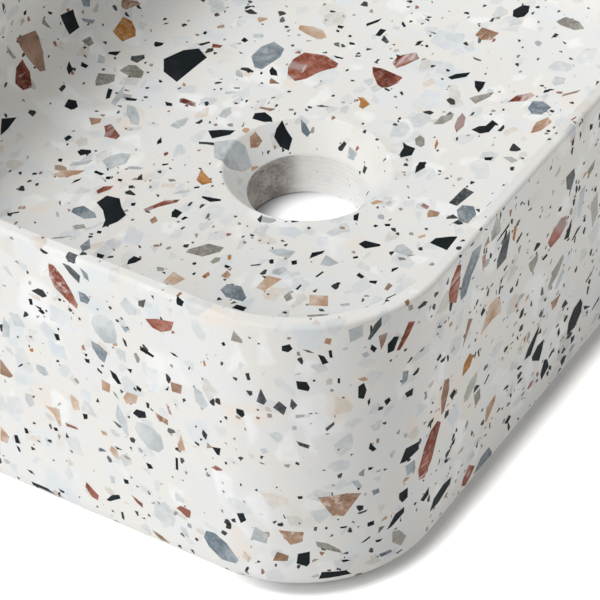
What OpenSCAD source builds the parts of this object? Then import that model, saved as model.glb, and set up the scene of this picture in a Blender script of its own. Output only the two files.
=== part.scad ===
// Terrazzo vessel basin: a cast tray with round corners, a deep bowl and an
// open waste hole. Stones of many colours are set flush in the pale binder.
// Origin: on the axis of the waste hole, at the level the basin stands on.
// X runs along the basin, Y across it and Z up.

/* [Basin] */
// Length of the basin
basin_length = 355; // [300:1:480]
// Width of the basin
basin_width = 250; // [220:1:360]
// Height of the basin
basin_height = 118; // [100:1:160]
// Plan radius of the four outer corners
corner_radius = 52.5; // [45:0.5:70]
// Rounding of the edge that the basin stands on
foot_radius = 9; // [4:0.5:12]

/* [Wall] */
// Thickness of the wall at the rim
wall_thickness = 5; // [4.5:0.5:12]
// Slope of the inner wall, in degrees
wall_draft = 2; // [0.5:0.5:5]
// Rounding of the outer edge of the rim
rim_outer_radius = 1.6; // [1:0.2:4]
// Rounding of the inner edge of the rim
rim_inner_radius = 1.2; // [0.6:0.2:2.4]
// Plan radius of the bowl's corners at the rim
bowl_corner_radius = 51; // [44:0.5:60]

/* [Bowl floor] */
// Thickness of the floor
floor_thickness = 29; // [22:1:36]
// Radius between the floor and the walls
cove_radius = 28; // [16:1:34]

/* [Waste hole] */
// Diameter of the waste hole
waste_diameter = 45; // [38:0.5:50]
// Diameter of the countersink where it meets the floor
countersink_diameter = 63.5; // [54:0.5:72]
// Depth of the countersink
countersink_depth = 10.8; // [6:0.2:16]
// Rounding of the countersink's two edges
hole_easing = 1.5; // [0.5:0.1:3]

/* [Stones] */
// Depth to which the stones are set
stone_depth = 2; // [1:0.1:2.5]
// Spacing of the scattered stones, where none is laid by hand
scatter_pitch = 19; // [18:1:40]
// Longest scattered stone
scatter_longest = 13; // [8:0.5:16]
// Shortest scattered stone
scatter_shortest = 4; // [3:0.5:6]

/* [Hidden] */
$fn = 96;

// Half sizes of the outer form and of the bowl at the rim
half_x = basin_length / 2;
half_y = basin_width / 2;
bowl_x = half_x - wall_thickness;
bowl_y = half_y - wall_thickness;
edge_slack = 0.1;
outer_edge = min(rim_outer_radius, wall_thickness * 0.6);
inner_edge = min(rim_inner_radius, wall_thickness - outer_edge - edge_slack);

// The cove's centre, as a distance in from the rim's wall line and a height
cove_z = floor_thickness + cove_radius;
cove_in = (basin_height - cove_z) * tan(wall_draft) + cove_radius / cos(wall_draft);
cove_sweep = 90 - wall_draft;
cove_arc = cove_radius * PI * cove_sweep / 180;
flat_x = bowl_x - cove_in;
flat_y = bowl_y - cove_in;
wall_run = (basin_height - cove_z + cove_radius * sin(wall_draft)) / cos(wall_draft);

// How far a stone's cutter stands out of the surface, and how deep it goes
proud = 1;
cove_proud = 4;
wall_core = 0.8;
set_depth = min(stone_depth, (wall_thickness - wall_core) / 2);
// A stone on the countersink starts below it, one on the cove's foot ends above it
cone_stone_depth = countersink_depth + set_depth;
cove_stone_rise = 6;

// The kinds of stone, in the order of the scatter's shares
KINDS = [
    "black", "slate", "blue_grey", "pale_grey", "white_marble", "red",
    "salmon", "peach", "ochre", "tan", "taupe", "sage"
];
SHARES = [26, 10, 10, 13, 8, 8, 5, 5, 3, 4, 5, 3];

// Stones laid by hand on the floor. Each outline is a list of [u, v], with v
// along X from the waste hole and u across, towards -Y.
FLOOR_STONES = [
    ["black", [
        [[-44, 0.5], [-40, 3.5], [-35, 6], [-35.5, 2.5], [-40, -3]],
        [[-34.5, 19], [-31.5, 21.5], [-27.5, 20], [-26, 18], [-28.5, 16], [-33.5, 15.5]],
        [[-15, 31], [-12, 33.5], [-12, 31.5], [-14, 27.5]],
        [[-44.5, 48], [-41.5, 46.5], [-39.5, 44], [-42, 43], [-44, 45]],
        [[23, 32.5], [25.5, 31.5], [29, 31.5], [30, 27], [27, 23.5], [25.5, 26], [25, 29.5]],
        [[34.5, 25], [36.5, 26], [38, 23], [36.5, 18], [35, 21.5]],
        [[45.5, 62], [48, 61], [48, 54.5], [45.5, 52], [41.5, 52.5], [43, 56], [45, 57.5]],
        [[27.5, 80.5], [31.5, 82], [32.5, 78], [32.5, 74.5], [29.5, 77]],
        [[23.5, 84.5], [23.5, 81], [19.5, 76.5], [17.5, 77], [19, 80.5]],
        [[68.5, -6.5], [69, -15.5], [61.5, -15], [62, -11.5], [66, -8]],
        [[46.5, -25], [47, -26], [43, -30], [39.5, -29], [40.5, -26]],
        [[30.5, -13], [32.5, -17.5], [31, -18], [29.5, -15.5]],
        [[31, -38.5], [31, -40.5], [28.5, -45.5], [27.5, -42]],
        [[19.5, -81], [23.5, -80.5], [23.5, -83], [19, -83.5]],
        [[-55, -52.5], [-50, -51.5], [-46.5, -55.5], [-42.5, -58.5], [-43, -63.5], [-46, -69.5],
         [-47.5, -65], [-51.5, -60.5], [-56, -58]],
        [[-29, -46], [-25.5, -46.5], [-25.5, -50], [-27.5, -51], [-29, -48.5]],
        [[-24.5, -34.5], [-17.5, -32.5], [-17, -33.5], [-20, -36], [-24, -35.5]],
        [[-27, -77], [-23.5, -77], [-24.5, -80], [-26.5, -82.5], [-27.5, -80]],
        [[-39.5, -82.5], [-36.5, -82], [-36, -84], [-38, -85]],
        [[-21, 91.5], [-18.5, 92], [-18.5, 87], [-20.5, 86.5]],
        [[-24, 98], [-24, 95], [-26.5, 90], [-27.5, 91.5]],
        [[-16, 100.5], [-13, 98], [-13.5, 97], [-15.5, 98.5]],
        [[55.5, 91], [55.5, 89], [54, 87], [53.5, 89]],
        [[-64, 59], [-61.5, 58], [-62, 56], [-64, 56.5]],
        [[69, 18], [72.5, 15.5], [69.5, 11.5], [69, 15]],
        [[54, 40], [57, 42], [57, 39.5], [55, 38.5]],
        [[-67, -42], [-63, -42], [-63.5, -43.5], [-67, -43.5]],
        [[-23.5, -48], [-22, -48], [-23, -50.5], [-24, -50]],
        [[53.5, -45], [56, -43.5], [56.5, -45.5], [54, -46]],
        [[61.5, -57], [64, -56.5], [65, -57.5], [62, -58.5]],
        [[12, -59.5], [15, -57], [15, -58], [12.5, -60]],
        [[-57, -12], [-55, -15], [-56, -17], [-57, -14.5]],
        [[-36.5, 85], [-34, 85.5], [-34, 83.5], [-36, 83.5]],
        [[48, -43], [51, -44], [50.5, -45.5], [48, -45]],
        [[4, -64], [6.5, -64], [6, -65.5], [4.5, -65.5]],
        [[-68, 7.5], [-65, 8], [-64, 6.5], [-66, 5.5]],
        [[-35.5, 82.3], [-34, 82], [-33.8, 80.8], [-35, 80.8]],
        [[-27, 77.5], [-25, 78], [-24, 77], [-26, 76]],
        [[-28, 66.6], [-23.5, 67.2], [-23.5, 66.3], [-26, 65.7]],
        [[-20, 71], [-18.3, 72.3], [-18.5, 71], [-19.8, 70.5]],
        [[-3.5, 92], [-2.5, 93.5], [-2.5, 89.5], [-3.2, 89.5]],
        [[-79.5, 54.5], [-78.3, 54.5], [-78, 52.5], [-79.3, 52.5]],
        [[-50.2, 28.8], [-48, 30], [-47.7, 29.3], [-49.5, 28.3]],
        [[-46.3, 43.2], [-45.3, 42.5], [-45.3, 41.3], [-46.3, 41.8]],
        [[-19.5, 31.5], [-17.8, 31], [-18, 30.2], [-19, 30.5]],
        [[-77.5, 18.5], [-75.5, 17.8], [-76, 16.7], [-77, 17]],
        [[-47.8, -26], [-46, -24.3], [-45.6, -25], [-47, -26.8]],
        [[-30, -31.5], [-28.5, -30], [-28, -31], [-29.5, -32.3]],
        [[-83, -43], [-81.5, -42.5], [-80.8, -44.5], [-82.5, -44.5]],
        [[-61.5, -43], [-60, -42], [-59.5, -44], [-61, -44.5]],
        [[-57, -41.8], [-55.3, -41.3], [-55, -42.8], [-56.5, -43]],
        [[-44.8, -51.5], [-43.3, -50.5], [-42.8, -52.5], [-44.1, -53]],
        [[-46.5, -71.5], [-45, -71], [-44.5, -72.5], [-46, -73]],
        [[16.5, -53], [17.5, -52.5], [18.8, -54.5], [17.8, -55.3]],
        [[23.5, -50], [25, -48.5], [26.3, -50.5], [25, -51.8]],
        [[57, -35], [58.5, -33], [59, -33.5], [58, -37]],
        [[41.8, -14], [43.5, -12.8], [44.3, -14], [42.8, -15]],
        [[39, -16], [40.5, -16], [40, -17.5], [38.8, -17.3]],
        [[63.5, -50.5], [65.3, -46.5], [66, -47.5], [64.3, -50.8]],
        [[41.5, -36.5], [42.8, -35], [43.5, -36], [42.3, -37.3]],
        [[35.5, -53], [36.3, -49], [37, -49.5], [36.3, -53.3]],
        [[33, -62.8], [33.3, -59.5], [34, -60], [34, -62.8]],
        [[52, -74], [54, -75], [54, -76.3], [52.5, -75.5]],
        [[-80, -79.5], [-77.5, -77], [-77.2, -77.8], [-79.3, -80]],
    ]],
    ["slate", [
        [[56.5, 20], [61, 19.5], [59.5, 9], [56, 9]],
        [[-17.5, 88.5], [-13.5, 85.5], [-14, 84], [-17, 85]],
        [[45.7, -68], [47, -67.2], [48.6, -68], [47, -69]],
    ]],
    ["blue_grey", [
        [[-52.5, 62.5], [-46.5, 60.5], [-45, 55], [-47, 44.5], [-50, 44], [-55, 49.5], [-55, 57]],
        [[53, 80.5], [56.5, 82.5], [61, 80.5], [60, 74.5], [56.5, 73], [53.5, 75.5]],
        [[61, 10.5], [65, 12], [68, 8.5], [68, 2], [64.5, 1.5], [60.5, 7]],
        [[10.5, -73], [15.5, -71.5], [20.5, -76], [20.5, -78.5], [14, -79.5], [10, -77]],
        [[-61.5, -65], [-59, -62], [-53, -63.5], [-51, -65.5], [-54.5, -68.5], [-61, -67.5]],
        [[-46.5, -77], [-43, -81.5], [-44.5, -84.5], [-47, -82.5]],
    ]],
    ["pale_grey", [
        [[-46, 15], [-44.5, 17.5], [-42, 14.5], [-42.5, 10.5], [-45.5, 10]],
        [[-54.5, 4], [-53.5, -1], [-54.5, -4.5], [-58, -4.5], [-57.5, 0]],
        [[53.5, -20.5], [59.5, -23], [58, -26], [52.5, -26], [52, -22.5]],
        [[13, -49], [17, -45.5], [22, -44.5], [22, -49], [17, -50]],
        [[32.5, -40.5], [39, -42], [37, -45.5], [33.5, -46.5]],
        [[-64.5, -28], [-61, -27], [-59.5, -32.5], [-63, -39], [-68, -36], [-67.5, -32]],
        [[53, 99], [57, 100], [58, 96.5], [55.5, 93.5], [53.5, 95]],
        [[-62, 63], [-58, 64.5], [-57.5, 62], [-61, 60.5]],
        [[-55, 39.5], [-52.5, 39], [-50.5, 36], [-53, 35.5], [-54.8, 37.5]],
        [[-51.5, 25], [-48, 27], [-47.5, 26.2], [-50.5, 23.3]],
        [[-9.5, 82], [-8, 83.5], [-7, 82], [-8.5, 80.5]],
        [[-58, -34], [-56, -32.3], [-52.5, -31.5], [-53, -33], [-57, -35]],
        [[-35, -39.3], [-32.5, -35], [-29.5, -34], [-31.5, -37]],
        [[20.5, -58], [23, -54], [25, -55], [24, -59], [21.5, -59.8]],
        [[51, -62], [53.5, -59.5], [54.5, -60.5], [52.5, -62.5]],
        [[53.5, -69], [56, -65.5], [58.5, -66], [57, -69.5]],
        [[36, -2.5], [37, -1], [38, -2], [37, -3.8]],
        [[-66, -70], [-64.5, -70.3], [-63, -72.3], [-64, -72.5]],
    ]],
    ["white_marble", [
        [[-1, 103], [8, 105], [13, 98], [8, 92], [0, 94]],
        [[14, 66], [20, 67], [23, 60], [20, 54], [14.5, 57]],
        [[-38, -63], [-31, -64], [-29, -71], [-35, -73]],
        [[-72.5, 70], [-70, 73.5], [-66, 73], [-66, 69], [-69, 65.5], [-72.5, 66.5]],
        [[-83, 79], [-78, 83], [-75, 80], [-77, 76], [-81, 77]],
        [[9, -36], [14, -32.5], [19, -33.5], [18, -38], [12, -39]],
        [[25, -33], [28, -31], [30, -34], [28.8, -37], [26.3, -36.5]],
    ]],
    ["red", [
        [[-38.5, 62.5], [-30.5, 65], [-23.5, 63], [-22.5, 60.5], [-25, 57.5], [-27, 54],
         [-29, 48], [-32, 44.5], [-36.5, 46.5], [-39, 51], [-40, 56.5]],
        [[-11, 68], [-7, 69], [2.5, 68], [3, 64], [1, 59.5], [-1, 58], [-3.5, 59], [-8.5, 64]],
        [[-1, 85], [2, 82], [-0.5, 75.5], [-2.5, 72], [-5.5, 74], [-6, 79], [-3.5, 82.5]],
        [[-64, 12], [-63, 13], [-57.5, 13], [-56, 10.5], [-63, 10]],
        [[33.5, 60], [36, 58], [38, 53], [37.5, 48], [35, 51], [33.5, 56]],
        [[50, 85], [52, 84], [50.5, 79], [45, 75], [46, 80.5]],
        [[-56, -46.5], [-56, -49], [-58.5, -53.5], [-60, -52], [-59, -48.5]],
        [[-30.5, -40.5], [-30.5, -42.5], [-35, -48.5], [-37, -52.5], [-39, -52.5], [-35, -44]],
        [[48, 4], [51, 3.5], [51, 1.5], [48, 2]],
        [[-51, -20], [-50, -18.5], [-49, -19.5], [-49.5, -21.5]],
    ]],
    ["salmon", [
        [[-41, 41.5], [-36, 40], [-39.5, 38], [-40.5, 39.5]],
        [[65.5, 96.5], [65, 94], [61, 88.5], [61, 90.5]],
        [[60, -42.5], [62, -43], [62, -46.5], [60.5, -46.5]],
        [[-24.5, -68], [-23, -66.7], [-22, -67.5], [-23.5, -69]],
    ]],
    ["peach", [
        [[-49.5, 77], [-44.5, 79], [-40, 79], [-36, 75.5], [-38.5, 72.5], [-44.5, 73.5],
         [-48.5, 74.5]],
        [[20.5, -61.5], [26, -60.5], [24, -69.5], [20.5, -69.5]],
        [[39, -63], [45, -60], [48, -65], [42, -68]],
        [[-10, -77], [-4, -78.5], [-5.5, -83.5], [-10, -84.5]],
        [[56, -14], [57.5, -11.5], [58.5, -12.5], [57, -15]],
    ]],
    ["ochre", [
        [[-6, 48], [-4, 49], [0.5, 46.5], [-0.5, 42.5], [-2.5, 43], [-3.5, 46]],
        [[-33.5, -21], [-30, -23], [-25.5, -25.5], [-28, -29], [-31.5, -27.5]],
        [[1, -70.5], [2.5, -72], [2, -74.5], [0.5, -73.5]],
        [[33, 41], [35, 38.5], [36, 34.5], [34.5, 36.5]],
        [[2, -59], [3, -58], [4.3, -60.5], [3.5, -61.5]],
    ]],
    ["tan", [
        [[63, 74.5], [65.5, 72.5], [64.5, 65.5], [62, 62], [61, 65.5], [60.5, 69.5]],
        [[-35, 23.5], [-29, 25.5], [-30, 23], [-34.5, 22.5]],
        [[52, 2], [56, 2.5], [56.5, 0], [53.5, -2.5], [52, 0]],
        [[6.5, -66.5], [9, -68], [9, -70.5], [6, -70.5]],
        [[-33, -53.5], [-30.5, -55.5], [-31.5, -58], [-33.5, -56.5]],
        [[13, 113], [20.5, 113], [20, 107], [17, 105.5], [13, 107]],
        [[28.5, -23.7], [30, -23], [31, -24], [29.5, -25]],
        [[-68.5, 21.5], [-67, 21], [-66.5, 19.5], [-68, 19.7]],
        [[-79.5, -75], [-77.5, -73], [-76.5, -74.5], [-78.5, -76.5]],
    ]],
    ["taupe", [
        [[26.5, 39.5], [29, 38.5], [31, 35], [30.5, 33], [28, 33.5], [26, 36.5]],
        [[31, 58], [32, 54.5], [30.5, 50], [27.5, 48], [27.5, 54]],
        [[-1.5, -56], [-1.5, -59], [-5.5, -64.5], [-12, -65.5], [-12, -63.5], [-7.5, -57]],
        [[50.5, -68.5], [50, -70.5], [45, -74], [44, -73]],
        [[32, -65], [35, -68], [34, -70.5], [31.5, -68.5]],
        [[37.5, 78], [37.5, 74.5], [35, 67.5], [31, 69.5], [32.5, 72]],
        [[-53.5, -79.5], [-55, -82], [-58.5, -84.5], [-58, -83]],
        [[-25, 28], [-23.5, 29], [-22.5, 28.3], [-23.8, 27]],
        [[-40, 7.5], [-38.5, 9.3], [-37, 7.5], [-38.5, 6.7]],
        [[-41, -32.5], [-39, -31.3], [-37.5, -32], [-39.5, -33.5]],
        [[55.5, -28], [58, -27.2], [59, -28], [57, -29.5]],
        [[-16.5, -78], [-14, -77], [-13, -78.5], [-15, -80]],
        [[-56, -74], [-53, -71], [-51, -72.5], [-54, -75.5]],
    ]],
    ["sage", [
        [[-1.2, -62.5], [0.5, -61.5], [1.3, -63.5], [0, -66], [-1.5, -65.5]],
    ]],
];

// Stones laid by hand on the countersink, in the same directions
CONE_STONES = [
    ["black", [[[-23.5, 21], [-21, 20], [-18, 19.5], [-17.5, 16], [-20.5, 14.5], [-23.5, 15],
                [-24, 17.5]]]],
    ["slate", [[[12.5, 21.5], [14.5, 20.5], [14.5, 18.5], [13, 19.5]]]],
    ["blue_grey", [[[-18, 25.5], [-15.5, 25.5], [-13, 24.5], [-13.5, 23], [-16, 23]]]],
    ["pale_grey", [[[-38, -4], [-33, 0.5], [-29, 3], [-24, 0], [-24.5, -6.5], [-27, -13],
                    [-33, -12.5], [-37, -6.5]],
                   [[3, 26.5], [7.5, 25], [7, 23], [4, 23.5]]]],
    ["tan", [[[-29, 10.5], [-26, 10.5], [-26, 7.5], [-27.5, 4.5], [-29.5, 7]]]],
];

// Stones laid by hand along the +Y wall: on the floor near it, with u from
// the foot of the cove towards the waste hole and v along X
WALL_FOOT_STONES = [
    ["black", [
        [[14.5, 43.5], [20.5, 40], [20, 35], [19, 20.5], [11, 23.5], [6.5, 30.5], [10, 39.5]],
        [[-1.5, 3.5], [0.5, 3.5], [2.5, -1.5], [1.5, -3], [0, 0]],
        [[7, 2], [12, 3.5], [12, 2], [9, 0.5]],
        [[12.5, 45.5], [15.5, 49.5], [16.5, 49], [14.5, 45.5]],
        [[-2.5, 38.5], [1, 39.5], [1, 37.5], [-0.5, 35.5], [-2, 36.5]],
        [[11, -34], [14.5, -32.5], [15.5, -34], [13, -37.5], [10.5, -36]],
        [[21, -48.5], [21, -50.5], [19.5, -53.5], [19.5, -51]],
        [[-9, -14.5], [-9.5, -12], [-7, -10.5], [-4.5, -13], [-5.5, -16], [-8.5, -16.5]],
        [[2, -29], [4, -29.5], [3.5, -33], [1.5, -31.5]],
    ]],
    ["slate", [[[-5, 25], [-1.5, 29], [0, 27], [-1, 23], [-4, 23]]]],
    ["pale_grey", [
        [[2.5, 9], [6, 2], [7, -4.5], [4.5, -4], [3.5, 2]],
        [[10.5, -1.5], [14.5, -1.5], [19.5, -6.5], [21.5, -10.5], [18.5, -11], [13.5, -6.5]],
        [[18.5, -37], [18, -40.5], [13, -45], [12.5, -42.5]],
    ]],
    ["red", [
        [[17.5, 49], [21.5, 50], [21.5, 48], [18.5, 46.5]],
        [[10.5, -17.5], [12, -15], [19, -19.5], [19, -22], [14, -23], [13, -20.5]],
    ]],
    ["salmon", [[[2.5, -16], [7, -14], [8, -16.5], [6, -19.5], [4.5, -18]]]],
    ["peach", [[[19.5, -44], [18.5, -47.5], [14, -52.5], [10.5, -52.5], [12, -48.5]]]],
    ["taupe", [
        [[-3, 20], [-0.5, 21.5], [4.5, 19.5], [6, 15.5], [2.5, 14], [-4, 15]],
        [[-9, 8], [-4, 12], [-2, 8.5], [-3, 5.5], [-6, 1.5], [-7.5, 3.5]],
    ]],
];

// and up the +Y wall, with u along X and v the way up from the cove's foot
WALL_STONES = [
    ["black", [
        [[10, 37], [18, 35], [17, 27.5], [10.5, 28]],
        [[-48, 17], [-42, 21.5], [-36, 18], [-43, 17]],
        [[19, 12.5], [20.5, 12.5], [24.5, 9.5], [21, 9.5]],
        [[-2.5, 16.5], [-1, 19], [2.5, 20.5], [1, 17]],
        [[5, 16], [7, 17], [8, 14], [6, 14]],
        [[3, 43], [6, 40.5], [5, 40], [3.5, 41.5]],
        [[-12, 51.5], [-10, 51.5], [-10.5, 49.5], [-12, 50]],
    ]],
    ["blue_grey", [
        [[20, 30], [26, 25.5], [24, 25], [20.5, 28]],
        [[24, 36], [29, 33.5], [27, 31], [24, 33]],
    ]],
    ["pale_grey", [[[12, 12.5], [16, 14.5], [17, 12], [14, 10.5]]]],
    ["red", [[[-17.5, 33.5], [-17, 27.5], [-20.5, 22.5], [-25, 24], [-26.5, 28], [-22.5, 32.5]]]],
    ["salmon", [[[-18, 43], [-6, 39.5], [-5, 36], [-6, 30], [-10, 24], [-12.5, 25], [-15.5, 35]]]],
    ["ochre", [[[29.5, 17.5], [39, 19], [40.5, 15.5], [38.5, 12], [35.5, 10], [32.5, 11],
                [29, 12]]]],
    ["tan", [[[41.5, 22.5], [44, 24.5], [50, 20], [50.5, 18], [42, 20.5]]]],
    ["taupe", [
        [[-24, 43.5], [-20.5, 36], [-22, 36], [-24.5, 41]],
        [[0, 42], [3, 35], [1, 37], [-1.5, 40]],
        [[14, 23], [19, 22], [18, 19], [15, 19.5]],
    ]],
];

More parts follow.
